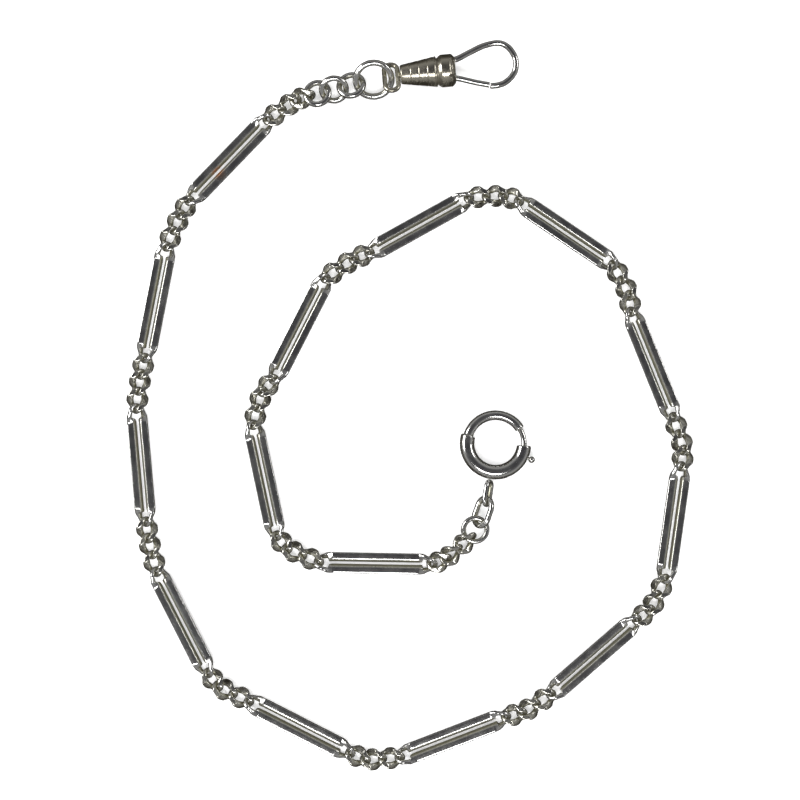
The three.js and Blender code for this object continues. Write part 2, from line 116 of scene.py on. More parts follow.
CLIP = dict(
    neck_radius=1.42,
    mouth_radius=2.3,
    cone_length=5.45,
    groove_radius=2.0,
    groove_width=0.25,
    collar_radius=2.45,
    collar_length=2.55,
    chamfer=0.5,
    eye_wire=0.36,
    eye_half_length=1.0,
    eye_half_width=2.45,
    eye_offset=-0.4,
    eye_roll=-30,
    stem_radius=0.5,
    head_radius=0.85,
    head_length=0.5,
    stem_length=1.7,
    running_gap=0.06,
    hook_wire=0.45,
    hook_root=1.24,
    hook_leg=1.55,
    gate_wire=0.42,
    slot_depth=1.8,
    slot_top=0.45,
    gate_reach=5.93,
    tip_gap=0.12,
    gate_eye=0.64,
    pin_radius=0.28,
    pin_depth=0.75,
    pin_offset=-1.15,
    coil_radius=0.56,
    coil_length=0.3,
)
COLLAR_FACE = CLIP["cone_length"] + CLIP["groove_width"] + CLIP["collar_length"]
EYE_SET_BACK = CLIP["running_gap"] + CLIP["eye_wire"] + CLIP["eye_half_length"]
CLIP_REACH = EYE_SET_BACK + CLIP["eye_half_length"] - CLIP["eye_wire"] - LINK_PLAY / 2

# Centrelines of the hook and of the gate, from the collar's face and the clip's axis.
HOOK_ROUTE = [
    (-1.24, 1.55),
    (0, 1.55),
    (0.8, 1.75),
    (2.4, 2.42),
    (4.66, 3.25),
    (6.86, 3.45),
    (8.24, 2.67),
    (9.1, 1.13),
    (9.12, -0.33),
    (8.6, -1.5),
    (7.4, -2.5),
    (6.2, -2.85),
    (4.9, -2.85),
]
GATE_ROUTE = [(-1.45, -1.0), (-0.75, -1.15), (0.4, -1.34), (2.74, -2.09), (5.4, -2.85)]

BOLT = dict(
    radius=4.3,
    sleeve=1.1,
    arc=0.73,
    wire=0.4,
    bore=0.5,
    sleeve_from=82,
    sleeve_to=275,
    gap_to=310,
    bite=6,
    socket=9,
    bolt_from=206,
    knob_at=255,
    travel=42,
    knob_post=0.2,
    knob_ball=0.5,
    knob_lift=1.65,
    slot_half=0.3,
    eye_wire=0.36,
    eye_half_length=1.75,
    eye_half_width=0.85,
    eye_roll=62,
    solder_gap=0.05,
)

# Fineness of the meshes: points along an end bend, round a wire and round a turned shape.
BEND_STEPS = 26
WIRE_SIDES = 24
BAR_SIDES = 32
TURNED_SIDES = 32
CORNER_STEPS = 4
CRISP_ANGLE = 35  # degrees between faces, above which their edge stays crisp
RING_POINTS = 96
ROUND_WIRE = 0.9  # power of a nearly round section: 1 is round, and less is squarer
GATE_COIL = dict(wire=0.05, turns=2.4)
BOLT_COIL = dict(wire=0.07, turns=30, per_turn=16, sides=6)

# ---- camera, floor and lights ---------------------------------------------------------------------

FRAME_WIDTH = 121.2
LOOKS_AT = (-1.5, 0.9)
LENS = 90
SENSOR = 36


def make_camera():
    data = bpy.data.cameras.new("camera")
    data.lens = LENS
    data.sensor_width = SENSOR
    data.clip_start = 0.01
    data.clip_end = 5
    camera = bpy.data.objects.new("camera", data)
    bpy.context.scene.collection.objects.link(camera)
    height = FRAME_WIDTH * LENS / SENSOR
    camera.location = (LOOKS_AT[0] * MM, LOOKS_AT[1] * MM, height * MM)
    bpy.context.scene.camera = camera


def new_material(name):
    material = bpy.data.materials.new(name)
    material.use_nodes = True
    material.node_tree.nodes.clear()
    return material, Graph(material.node_tree)


class Graph:
    """Adds nodes to a node tree, with their inputs given as values or as other nodes' outputs."""

    def __init__(self, tree):
        self.tree = tree

    def add(self, kind, settings=None, **inputs):
        node = self.tree.nodes.new(kind)
        for name, value in (settings or {}).items():
            setattr(node, name, value)
        for name, value in inputs.items():
            self.feed(node, name.replace("_", " "), value)
        return node

    def feed(self, node, name, value):
        socket = next(s for s in node.inputs if s.name == name and s.enabled)
        if isinstance(value, bpy.types.NodeSocket):
            self.tree.links.new(value, socket)
        else:
            socket.default_value = value

    def math(self, operation, a, b=0.0, clamp=False):
        node = self.tree.nodes.new("ShaderNodeMath")
        node.operation = operation
        node.use_clamp = clamp
        for socket, value in zip(node.inputs, (a, b)):
            if isinstance(value, bpy.types.NodeSocket):
                self.tree.links.new(value, socket)
            else:
                socket.default_value = value
        return node.outputs[0]

    def mix(self, share, a, b):
        node = self.tree.nodes.new("ShaderNodeMix")
        node.data_type = "RGBA"
        for index, value in ((0, share), (6, a), (7, b)):
            if isinstance(value, bpy.types.NodeSocket):
                self.tree.links.new(value, node.inputs[index])
            else:
                node.inputs[index].default_value = value
        return node.outputs[2]

    def ramp(self, value, stops):
        node = self.tree.nodes.new("ShaderNodeValToRGB")
        self.tree.links.new(value, node.inputs[0])
        elements = node.color_ramp.elements
        while len(elements) < len(stops):
            elements.new(0.5)
        for element, (place, colour) in zip(elements, stops):
            element.position = place
            element.color = colour if len(colour) == 4 else (*colour, 1)
        return node.outputs[0]

    def noise(self, coordinates, scale, detail=3, seed=0.0, roughness=0.5):
        settings = {"noise_dimensions": "4D"}
        node = self.add("ShaderNodeTexNoise", settings, Scale=scale, Detail=detail)
        self.feed(node, "Vector", coordinates)
        self.feed(node, "W", seed)
        self.feed(node, "Roughness", roughness)
        return node.outputs["Fac"]


def make_floor():
    material, graph = new_material("pale_floor")
    place = graph.add("ShaderNodeTexCoord").outputs["Object"]
    mottle = graph.noise(place, 9, 4)
    colour = graph.ramp(mottle, [(0.3, (0.86, 0.86, 0.86)), (0.7, (0.88, 0.88, 0.875))])
    shader = graph.add("ShaderNodeBsdfPrincipled", Base_Color=colour, Roughness=0.9)
    graph.feed(shader, "Emission Color", (1, 1, 1, 1))
    graph.feed(shader, "Emission Strength", 0.25)
    graph.add("ShaderNodeOutputMaterial", Surface=shader.outputs[0])
    bpy.ops.mesh.primitive_plane_add(size=6)
    floor = bpy.context.object
    floor.name = "floor"
    floor.data.materials.append(material)
    floor.visible_glossy = False


def make_world():
    """Pale to the eye. What the metal mirrors is dark overhead and below, and pale round the sides."""
    world = bpy.data.worlds.new("studio")
    world.use_nodes = True
    bpy.context.scene.world = world
    world.node_tree.nodes.clear()
    graph = Graph(world.node_tree)
    direction = graph.add("ShaderNodeTexCoord").outputs["Generated"]
    height = graph.add("ShaderNodeSeparateXYZ", Vector=direction).outputs["Z"]
    share = graph.math("MULTIPLY_ADD", height, 0.5)
    share.node.inputs[2].default_value = 0.5
    room = graph.ramp(
        share,
        [
            (0.0, (0.055, 0.05, 0.04)),
            (0.35, (0.05, 0.047, 0.038)),
            (0.5, (0.16, 0.155, 0.14)),
            (0.62, (0.42, 0.42, 0.41)),
            (0.78, (0.3, 0.3, 0.3)),
            (0.9, (0.09, 0.09, 0.095)),
            (1.0, (0.06, 0.06, 0.065)),
        ],
    )
    seen = graph.add("ShaderNodeLightPath").outputs["Is Camera Ray"]
    colour = graph.mix(seen, room, (0.86, 0.86, 0.86, 1))
    background = graph.add("ShaderNodeBackground", Color=colour)
    graph.add("ShaderNodeOutputWorld", Surface=background.outputs[0])


def area_light(name, azimuth, elevation, distance, size, power, glossy=True):
    """A softbox that faces the chain. Azimuth 0 stands at +X and 90 at +Y; size is (across, up)."""
    data = bpy.data.lights.new(name, "AREA")
    data.shape = "RECTANGLE"
    data.size, data.size_y = size
    data.energy = power
    light = bpy.data.objects.new(name, data)
    bpy.context.scene.collection.objects.link(light)
    a, e = azimuth * DEG, elevation * DEG
    away = Vector((math.cos(a) * math.cos(e), math.sin(a) * math.cos(e), math.sin(e)))
    light.location = away * distance
    light.rotation_euler = away.to_track_quat("Z", "Y").to_euler()
    light.visible_glossy = glossy


def make_lights():
    area_light("floor_light", 90, 89, 1.2, (1.6, 1.6), 17, glossy=False)
    area_light("left_box", 165, 32, 0.8, (0.5, 0.28), 5)
    area_light("front_box", 262, 58, 0.8, (0.42, 0.16), 3.2)
    area_light("right_strip", 20, 28, 0.8, (0.3, 0.1), 1.2)


# ---- metals ---------------------------------------------------------------------------------------


def metal(
    name,
    silver,
    tarnish,
    roughness,
    stain=0.35,
    lines=None,
    scratch=0.35,
    spots=None,
):
    """Worn metal: tarnish in the recesses with painted shade from an ambient-occlusion node added to
    it, rubbed bright edges, scratches along x and fine dents.
    """
    material, graph = new_material(name)
    place = graph.add("ShaderNodeAttribute", {"attribute_name": "own_frame"}).outputs["Vector"]
    seed = graph.math("MULTIPLY", graph.add("ShaderNodeObjectInfo").outputs["Random"], 40.0)
    grime = graph.add("ShaderNodeAttribute", {"attribute_name": "grime"}).outputs["Fac"]
    edge = graph.add("ShaderNodeAttribute", {"attribute_name": "edge"}).outputs["Fac"]
    # Painted shade: the colour darkens where the ambient-occlusion node finds the surface hidden by
    # nearby surfaces, of this piece or of its neighbours.
    open_sky = graph.add(
        "ShaderNodeAmbientOcclusion", {"samples": 4}, Distance=0.7 * MM
    ).outputs["AO"]

    patches = graph.noise(place, 620, 4, seed, 0.6)
    specks = graph.noise(place, 3400, 3, seed, 0.6)
    painted_shade = graph.math("SUBTRACT", 1.0, open_sky)
    # Tarnish from the grime attribute plus the painted shade from occlusion set how far the colour
    # darkens.
    tarnish_and_shade = graph.math("MULTIPLY", graph.math("ADD", graph.math("MULTIPLY", grime, 0.8), painted_shade), 0.9)
    uneven = graph.math("MULTIPLY", graph.math("SUBTRACT", patches, 0.42), 2.2)
    amount = graph.math("ADD", graph.math("MULTIPLY", uneven, stain), tarnish_and_shade)
    amount = graph.math("SUBTRACT", amount, graph.math("MULTIPLY", edge, 0.6), clamp=True)

    bright = graph.mix(specks, tuple(0.9 * c for c in silver) + (1,), (*silver, 1))
    dull = graph.mix(patches, (*tarnish[0], 1), (*tarnish[1], 1))
    colour = graph.mix(amount, bright, dull)
    if spots:
        colour = spot_colour(graph, place, colour, *spots)

    stretched = graph.add("ShaderNodeMapping", Vector=place, Scale=(0.12, 1, 1)).outputs[0]
    hairlines = graph.noise(stretched, 9000, 2, seed, 0.7)
    rough = graph.math("ADD", roughness, graph.math("MULTIPLY", amount, 0.22))
    rough = graph.math("ADD", rough, graph.math("MULTIPLY", graph.math("SUBTRACT", specks, 0.5), 0.16))
    rough = graph.math("MAXIMUM", rough, 0.06, clamp=True)

    height = graph.math("MULTIPLY", hairlines, scratch)
    height = graph.math("ADD", height, graph.math("MULTIPLY", patches, 0.9))
    if lines:
        height = graph.math("ADD", height, turned_lines(graph, place, lines))
    bump = graph.add("ShaderNodeBump", Height=height, Strength=0.35, Distance=0.02 * MM)

    shader = graph.add("ShaderNodeBsdfPrincipled", Base_Color=colour, Roughness=rough)
    graph.feed(shader, "Metallic", graph.math("SUBTRACT", 1.0, graph.math("MULTIPLY", amount, 0.35)))
    graph.feed(shader, "Normal", bump.outputs[0])
    graph.add("ShaderNodeOutputMaterial", Surface=shader.outputs[0])
    return material


def turned_lines(graph, place, per_metre):
    """Fine uneven rings left by the lathe, across x."""
    squeezed = graph.add("ShaderNodeMapping", Vector=place, Scale=(1, 0.02, 0.02)).outputs[0]
    return graph.math("MULTIPLY", graph.noise(squeezed, per_metre, 2, 0.0, 0.8), 0.9)


def spot_colour(graph, place, colour, at, radius, spot):
    """Stains one place of the piece, at a point in its own frame."""
    away = graph.add("ShaderNodeVectorMath", {"operation": "DISTANCE"})
    graph.tree.links.new(place, away.inputs[0])
    away.inputs[1].default_value = [c * MM for c in at]
    near = graph.math("DIVIDE", away.outputs["Value"], radius * MM)
    near = graph.math("SUBTRACT", 1.0, near, clamp=True)
    return graph.mix(near, colour, (*spot, 1))


SILVER = (0.6, 0.595, 0.585)
WARM_SILVER = (0.56, 0.55, 0.51)
NICKEL = (0.47, 0.44, 0.37)
OLIVE = ((0.16, 0.15, 0.09), (0.3, 0.29, 0.2))
BROWN = ((0.1, 0.085, 0.06), (0.24, 0.21, 0.14))

make_camera()
make_world()
make_lights()
make_floor()

METALS = {
    "bar_silver": metal("bar_silver", SILVER, OLIVE, 0.16, stain=0.22),
    "curb_silver": metal("curb_silver", WARM_SILVER, OLIVE, 0.15, stain=0.65),
    "ring_silver": metal("ring_silver", SILVER, OLIVE, 0.13, stain=0.35),
    "clip_nickel": metal("clip_nickel", NICKEL, BROWN, 0.22, stain=0.6, lines=5200),
    "hook_silver": metal("hook_silver", SILVER, OLIVE, 0.15, stain=0.2),
    "bolt_silver": metal("bolt_silver", SILVER, OLIVE, 0.14, stain=0.25),
    "spring_steel": metal("spring_steel", (0.4, 0.39, 0.37), BROWN, 0.25),
}
STAINED_BAR = metal(
    "bar_silver_stained",
    SILVER,
    OLIVE,
    0.16,
    stain=0.22,
    spots=((2.5, 0.35, 0), 1.3, (0.45, 0.16, 0.03)),
)
SOLDERED_EYE = metal(
    "clip_nickel_soldered",
    NICKEL,
    OLIVE,
    0.2,
    stain=0.6,
    spots=((-1.6, -2.1, 0), 1.0, (0.33, 0.34, 0.16)),
)

# ---- mesh building --------------------------------------------------------------------------------


class Shape:
    """Points in millimetres, faces, and each point's grime and edge wear from 0 to 1."""

    def __init__(self, points, faces, grime, edge):
        self.points = points
        self.faces = faces
        self.grime = grime
        self.edge = edge

    def moved(self, matrix):
        points = self.points @ np.array(matrix.to_3x3()).T + np.array(matrix.translation)
        return Shape(points, self.faces, self.grime, self.edge)


def smooth(t):
    t = np.clip(t, 0, 1)
    return t * t * (3 - 2 * t)


def waver(rows, columns, seed, amount):
    """An uneven factor close to 1 for each point of a grid, as hand work and wear leave it."""
    random = np.random.default_rng(seed)
    u = np.linspace(0, TURN, rows, endpoint=False)[:, None]
    v = np.linspace(0, TURN, columns, endpoint=False)[None, :]
    total = np.zeros((rows, columns))
    for along, round_it in ((2, 0), (3, 1), (5, 2), (9, 1), (14, 3)):
        total += np.sin(along * u + round_it * v + random.uniform(0, TURN)) / along**0.5
    return 1 + amount * total / 2


def wire_loop(x, y, normal, wide, thick, power, sides, seed=0, draft=0.0, uneven=0.012):
    """A closed loop of wire in the xy plane. Arrays give its centreline and half sizes."""
    turn = (np.arange(sides) + 0.5) / sides * TURN
    cos, sin = np.cos(turn)[None, :], np.sin(turn)[None, :]
    power = power[:, None]
    scale = waver(len(x), sides, seed, uneven)
    out = wide[:, None] * np.sign(cos) * np.abs(cos) ** power * scale
    up = thick[:, None] * np.sign(sin) * np.abs(sin) ** power * scale
    flat = np.clip((1 - power) * 1.6, 0, 1)
    out = out + np.where(cos < 0, draft, 0) * flat * up / thick[:, None]
    px = x[:, None] + out * np.cos(normal)[:, None]
    py = y[:, None] + out * np.sin(normal)[:, None]
    points = np.stack([px, py, up], axis=-1).reshape(-1, 3)
    grime = np.clip(-cos * 1.3 - 0.35, 0, 1) + 0 * px
    edge = flat * np.clip(np.abs(cos * sin) * 2.4 - 1.1, 0, 1) + 0 * px
    faces = grid_faces(len(x), sides, closed=True)
    return Shape(points, faces, grime.ravel(), edge.ravel())


def grid_faces(rows, columns, closed):
    faces = []
    for i in range(rows if closed else rows - 1):
        k = (i + 1) % rows
        for j in range(columns):
            m = (j + 1) % columns
            faces.append((i * columns + j, k * columns + j, k * columns + m, i * columns + m))
    return faces


def loop_path(half_length, bend_radius, side_x, bend_steps):
    """Centreline of a loop with round ends: x, y and the outward normal's angle, all the way round."""
    straight = half_length - bend_radius
    bend = np.linspace(-90, 90, bend_steps + 1) * DEG
    side_x = np.asarray(side_x)
    x = np.concatenate(
        [
            straight + bend_radius * np.cos(bend),
            side_x[::-1],
            -straight - bend_radius * np.cos(bend),
            side_x,
        ]
    )
    y = np.concatenate(
        [
            bend_radius * np.sin(bend),
            np.full(len(side_x), bend_radius),
            -bend_radius * np.sin(bend),
            np.full(len(side_x), -bend_radius),
        ]
    )
    up, down = np.full(len(side_x), 90 * DEG), np.full(len(side_x), -90 * DEG)
    normal = np.concatenate([bend, up, bend + math.pi, down])
    return x, y, normal


def twisted(shape, sizes):
    """Turns each cross section about the x axis, by an angle that grows towards both ends."""
    x, y, z = shape.points.T
    share = (np.abs(x) - sizes["twist_start"]) / (sizes["twist_end"] - sizes["twist_start"])
    angle = np.sign(x) * sizes["twist"] * DEG * np.clip(share, 0, 1)
    turned_y = y * np.cos(angle) - z * np.sin(angle)
    turned_z = y * np.sin(angle) + z * np.cos(angle)
    shape.points = np.stack([x, turned_y, turned_z], axis=-1)
    return shape


def curb_link(seed):
    straight = CURB["half_length"] - CURB["bend_radius"]
    side_x = np.linspace(-straight, straight, 13)[1:-1]
    x, y, normal = loop_path(CURB["half_length"], CURB["bend_radius"], side_x, BEND_STEPS)
    side = smooth((CURB["side_end"] - np.abs(x)) / CURB["side_taper"])
    wide = CURB["end_wire"] + (CURB["side_wide"] - CURB["end_wire"]) * side
    thick = CURB["end_wire"] + (CURB["side_thick"] - CURB["end_wire"]) * side
    power = 1 - (1 - CURB["squareness"]) * side
    shape = twisted(wire_loop(x, y, normal, wide, thick, power, WIRE_SIDES, seed), CURB)
    shape.points[:, 2] = np.clip(shape.points[:, 2], -CURB["filed"], CURB["filed"])
    return shape


def bar_link(seed):
    straight = BAR["half_length"] - BAR["bend_radius"]
    notch, step, shoulder = BAR["notch_start"], BAR["notch_step"], BAR["shoulder"]
    half = np.concatenate(
        [
            np.linspace(0, BAR["twist_start"], 25),
            np.linspace(BAR["twist_start"], notch, 6)[1:],
            np.linspace(notch, notch + step, 9)[1:],
            np.linspace(notch + step, straight, 10)[1:-1],
        ]
    )
    side_x = np.concatenate([-half[::-1], half[1:]])
    x, y, normal = loop_path(BAR["half_length"], BAR["bend_radius"], side_x, BEND_STEPS)
    past_notch = smooth((np.abs(x) - notch) / step)
    past_shoulder = smooth((np.abs(x) - shoulder) / (straight - shoulder))

    def along(flat, beside, end):
        """A size that changes where the slot widens, and again where the end bend begins."""
        return flat + (beside - flat) * past_notch + (end - beside) * past_shoulder

    flat_y = (BAR["half_width"] + BAR["slot_half"]) / 2
    flat_wide = (BAR["half_width"] - BAR["slot_half"]) / 2
    beside_y = BAR["half_width"] - BAR["notch_strand"]
    y = y + np.sign(y) * (along(flat_y, beside_y, BAR["bend_radius"]) - BAR["bend_radius"])
    wide = along(flat_wide, BAR["notch_strand"], BAR["end_wire"])
    thinned = smooth((np.abs(x) - BAR["twist_start"]) / (BAR["twist_end"] - BAR["twist_start"]))
    thick = BAR["half_thick"] + (BAR["end_wire"] - BAR["half_thick"]) * thinned
    power = BAR["squareness"] + (1 - BAR["squareness"]) * thinned
    shape = wire_loop(
        x, y, normal, wide, thick, power, BAR_SIDES, seed, draft=BAR["wall_draft"], uneven=0.006
    )
    return twisted(shape, BAR)


def oval_loop(half_length, bend_radius, wire, seed=0):
    straight = half_length - bend_radius
    side_x = np.linspace(-straight, straight, 11)[1:-1]
    x, y, normal = loop_path(half_length, bend_radius, side_x, BEND_STEPS)
    size = np.full(len(x), wire)
    return wire_loop(x, y, normal, size, size, np.full(len(x), ROUND_WIRE), WIRE_SIDES, seed)


def round_ring(radius, wire, seed, seam_at):
    """A ring of wire with a fine soldered seam."""
    angle = np.linspace(0, 360, RING_POINTS, endpoint=False)
    seam = np.exp(-(((angle - seam_at + 180) % 360 - 180) ** 2) / 3.0)
    size = wire * (1 - 0.1 * seam)
    normal = angle * DEG
    x, y = radius * np.cos(normal), radius * np.sin(normal)
    return wire_loop(x, y, normal, size, size, np.full(len(x), ROUND_WIRE), WIRE_SIDES, seed)


# An axis is a function of arc length that gives arrays of centres and of two directions across.


def straight_axis(s):
    s = np.asarray(s, float)
    zero, one = np.zeros_like(s), np.ones_like(s)
    centre = np.stack([s, zero, zero], axis=-1)
    return centre, np.stack([zero, one, zero], -1), np.stack([zero, zero, one], -1)


def ring_axis(radius):
    """An axis bent round a ring, measured in degrees."""

    def axis(s):
        angle = np.asarray(s, float) * DEG
        out = np.stack([np.cos(angle), np.sin(angle), np.zeros_like(angle)], -1)
        return radius * out, out, np.tile([0.0, 0.0, 1.0], (len(angle), 1))

    return axis


def route_axis(route):
    """An axis along a smooth planar curve through points, measured from 0 to 1."""
    knots = np.array([(x + COLLAR_FACE, y) for x, y in route])
    padded = np.vstack([2 * knots[0] - knots[1], knots, 2 * knots[-1] - knots[-2]])
    fine = []
    for i in range(len(knots) - 1):
        p0, p1, p2, p3 = padded[i : i + 4]
        t = np.linspace(0, 1, 24, endpoint=False)[:, None]
        fine.append(
            0.5
            * (
                2 * p1
                + (p2 - p0) * t
                + (2 * p0 - 5 * p1 + 4 * p2 - p3) * t**2
                + (3 * p1 - p0 - 3 * p2 + p3) * t**3
            )
        )
    fine = np.vstack(fine + [knots[-1:]])
    steps = np.linalg.norm(np.diff(fine, axis=0), axis=1)
    length = np.concatenate([[0], np.cumsum(steps)])

    def axis(s):
        s = np.asarray(s, float)
        xy = np.stack([np.interp(s, length, fine[:, k]) for k in (0, 1)], -1)
        ahead = [np.interp(s + 0.05, length, fine[:, k]) for k in (0, 1)]
        behind = [np.interp(s - 0.05, length, fine[:, k]) for k in (0, 1)]
        tangent = np.stack(ahead, -1) - np.stack(behind, -1)
        tangent /= np.linalg.norm(tangent, axis=1)[:, None]
        zero = np.zeros_like(s)
        beyond = (np.minimum(s, 0) + np.maximum(s - length[-1], 0))[:, None]
        centre = np.column_stack([xy + tangent * beyond, zero])
        across = np.column_stack([-tangent[:, 1], tangent[:, 0], zero])
        return centre, across, np.tile([0.0, 0.0, 1.0], (len(s), 1))

    axis.length = length[-1]
    return axis


def revolve(profile, axis, sides, seed=0, uneven=0.004, inside=0.0):
    """A solid of [place, radius] points round an axis. The first and last points are on the axis."""
    profile = np.array(profile, float)
    centre, across, up = axis(profile[:, 0])
    turn = np.arange(sides) / sides * TURN
    rows = profile[1:-1]
    radius = rows[:, 1][:, None] * waver(len(rows), sides, seed, uneven)
    cos, sin = np.cos(turn)[None, :, None], np.sin(turn)[None, :, None]
    ring = across[1:-1, None] * cos + up[1:-1, None] * sin
    grid = centre[1:-1, None] + radius[..., None] * ring
    points = np.vstack([grid.reshape(-1, 3), centre[:1], centre[-1:]])
    faces = grid_faces(len(rows), sides, closed=False)
    first, last = len(points) - 2, len(points) - 1
    base = (len(rows) - 1) * sides
    for j in range(sides):
        m = (j + 1) % sides
        faces.append((first, j, m))
        faces.append((last, base + m, base + j))
    grime = np.full(len(points), inside)
    return Shape(points, faces, grime, np.zeros(len(points)))


def rounded(points, radius):
    """The profile with each corner rounded, by at most half of its shorter side."""
    points = [np.array(p, float) for p in points]
    result = [points[0]]
    for before, corner, after in zip(points, points[1:], points[2:]):
        reach = min(radius, np.linalg.norm(corner - before) / 2, np.linalg.norm(after - corner) / 2)
        start = corner + (before - corner) / np.linalg.norm(before - corner) * reach
        end = corner + (after - corner) / np.linalg.norm(after - corner) * reach
        for t in np.linspace(0, 1, CORNER_STEPS + 1):
            result.append((1 - t) ** 2 * start + 2 * t * (1 - t) * corner + t * t * end)
    result.append(points[-1])
    return result


def subdivided(points, step):
    """The profile with its long stretches cut into shorter ones."""
    result = [points[0]]
    for a, b in zip(points, points[1:]):
        if np.allclose(a, b):
            continue
        count = max(1, math.ceil(np.linalg.norm(np.array(b) - np.array(a)) / step))
        result += [np.array(a) + (np.array(b) - np.array(a)) * i / count for i in range(1, count + 1)]
    return result


def rod(start, end, radius, per_unit=1.0, dome=0.3, step=0.2):
    """The profile of a rod with domed ends. per_unit is the axis's own units in a millimetre."""
    cap = dome * radius * per_unit
    edge = np.linspace(0, 90, 6) * DEG
    head = [(start + cap * (1 - math.cos(a)), radius * (1 - dome + dome * math.sin(a))) for a in edge]
    tail = [(start + end - s, r) for s, r in reversed(head)]
    middle = subdivided([np.array(head[-1]), np.array(tail[0])], step * per_unit)[1:-1]
    return [(start, 0)] + head + [tuple(m) for m in middle] + tail + [(end, 0)]


def helix(axis, start, end, turns, radius, wire, per_turn=28, sides=10):
    """A coil spring round an axis."""
    count = int(turns * per_turn)
    s = np.linspace(start, end, count)
    centre, across, up = axis(s)
    angle = np.linspace(0, turns * TURN, count)
    out = across * np.cos(angle)[:, None] + up * np.sin(angle)[:, None]
    line = centre + radius * out
    tangent = np.gradient(line, axis=0)
    tangent /= np.linalg.norm(tangent, axis=1)[:, None]
    side = np.cross(tangent, out)
    turn = np.arange(sides) / sides * TURN
    ring = out[:, None] * np.cos(turn)[None, :, None] + side[:, None] * np.sin(turn)[None, :, None]
    grid = line[:, None] + wire * ring
    points = np.vstack([grid.reshape(-1, 3), line[:1], line[-1:]])
    faces = [face[::-1] for face in grid_faces(count, sides, closed=False)]
    first, last = len(points) - 2, len(points) - 1
    base = (count - 1) * sides
    for j in range(sides):
        m = (j + 1) % sides
        faces.append((first, m, j))
        faces.append((last, base + j, base + m))
    return Shape(points, faces, np.full(len(points), 0.5), np.zeros(len(points)))


def to_mesh(name, shape):
    mesh = bpy.data.meshes.new(name)
    mesh.from_pydata((shape.points * MM).tolist(), [], shape.faces)
    for key in ("grime", "edge"):
        values = getattr(shape, key).astype(np.float32)
        mesh.attributes.new(key, "FLOAT", "POINT").data.foreach_set("value", values)
    tidy = bmesh.new()
    tidy.from_mesh(mesh)
    bmesh.ops.recalc_face_normals(tidy, faces=tidy.faces)
    tidy.to_mesh(mesh)
    tidy.free()
    return mesh


def shade(mesh):
    """Smooth faces, with the edges that turn more than CRISP_ANGLE kept crisp."""
    tidy = bmesh.new()
    tidy.from_mesh(mesh)
    for face in tidy.faces:
        face.smooth = True
    for line in tidy.edges:
        sharp = len(line.link_faces) == 2 and line.calc_face_angle(0) > CRISP_ANGLE * DEG
        line.smooth = not sharp
    tidy.to_mesh(mesh)
    tidy.free()


def carved(name, shape, cuts=(), unions=()):
    """The shape's mesh with other shapes joined to it and then cut from it."""
    scene = bpy.context.scene
    base = bpy.data.objects.new(name, to_mesh(name, shape))
    scene.collection.objects.link(base)
    helpers = []
    for operation, others in (("UNION", unions), ("DIFFERENCE", cuts)):
        for other in others:
            helper = bpy.data.objects.new("helper", to_mesh("helper", other))
            scene.collection.objects.link(helper)
            helpers.append(helper)
            modifier = base.modifiers.new(operation, "BOOLEAN")
            modifier.operation = operation
            modifier.solver = "EXACT"
            modifier.object = helper
    depsgraph = bpy.context.evaluated_depsgraph_get()
    mesh = bpy.data.meshes.new_from_object(base.evaluated_get(depsgraph))
    for thing in [base, *helpers]:
        bpy.data.objects.remove(thing)
    return mesh


def box_shape(low, high):
    low, high = np.array(low, float), np.array(high, float)
    corners = np.array([[i, j, k] for i in (0, 1) for j in (0, 1) for k in (0, 1)])
    faces = [(0, 1, 3, 2), (4, 6, 7, 5), (0, 4, 5, 1), (2, 3, 7, 6), (0, 2, 6, 4), (1, 5, 7, 3)]
    points = low + corners * (high - low)
    return Shape(points, faces, np.full(8, 0.8), np.zeros(8))


def sector(angles, inner, outer, half):
    """A flat arc-shaped block round z, between two radii and as far above z = 0 as below."""
    rows = []
    for angle in angles * DEG:
        for radius in (inner, outer):
            for z in (-half, half):
                rows.append((radius * math.cos(angle), radius * math.sin(angle), z))
    faces = []
    for i in range(len(angles) - 1):
        k = 4 * i
        for a, c in ((0, 1), (1, 3), (3, 2), (2, 0)):
            faces.append((k + a, k + c, k + c + 4, k + a + 4))
    last = 4 * (len(angles) - 1)
    faces += [(0, 2, 3, 1), (last, last + 1, last + 3, last + 2)]
    return Shape(np.array(rows), faces, np.full(len(rows), 0.4), np.zeros(len(rows)))


# ---- putting pieces in place ----------------------------------------------------------------------


def add_piece(name, mesh, matrix, body, node, slot, material=None):
    """Puts a piece in place of a CAD node. Its own coordinates are kept for the metal's textures."""
    if isinstance(mesh, Shape):
        mesh = to_mesh(name, mesh)
    shade(mesh)
    own_frame = np.empty(3 * len(mesh.vertices), np.float32)
    mesh.vertices.foreach_get("co", own_frame)
    mesh.attributes.new("own_frame", "FLOAT_VECTOR", "POINT").data.foreach_set("vector", own_frame)
    mesh.transform(matrix)
    mesh.materials.clear()
    mesh.materials.append(material or METALS[slot])
    piece = bpy.data.objects.new(name, mesh)
    bpy.context.scene.collection.objects.link(piece)
    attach(piece, body)
    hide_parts(node)


def axes_matrix(origin, x, y, z):
    matrix = Matrix((x, y, z)).transposed().to_4x4()
    matrix.translation = origin
    return matrix


def between(start, end, roll):
    """The frame of a piece hooked at two points: x from one to the other, rolled about it."""
    x = (end - start).normalized()
    y = Vector((0, 0, 1)).cross(x).normalized()
    level = axes_matrix((start + end) / 2, x, y, x.cross(y))
    return level @ Matrix.Rotation(roll * DEG, 4, "X")


JOINTS = {frozenset((j["parent"], j["child"])): j for j in frame["joints"]}
RUNS = sum(name.startswith("curb_link") for name in frame["nodes"])


def chain_order():
    """Every body from the dog clip's eye to the bolt ring, in order."""
    order = ["swivel_eye", "large_jump_ring", "jump_ring_1", "jump_ring_2", "jump_ring_3"]
    for run in range(RUNS):
        if run:
            order.append(f"bar_link_{run:02d}")
        order += [f"curb_link_{run:02d}", f"curb_pair_{run:02d}"]
    return order + ["round_ring", "oval_ring", "bolt_ring"]


def hook_point(a, b):
    return Vector(JOINTS[frozenset((a, b))]["pos_m"])


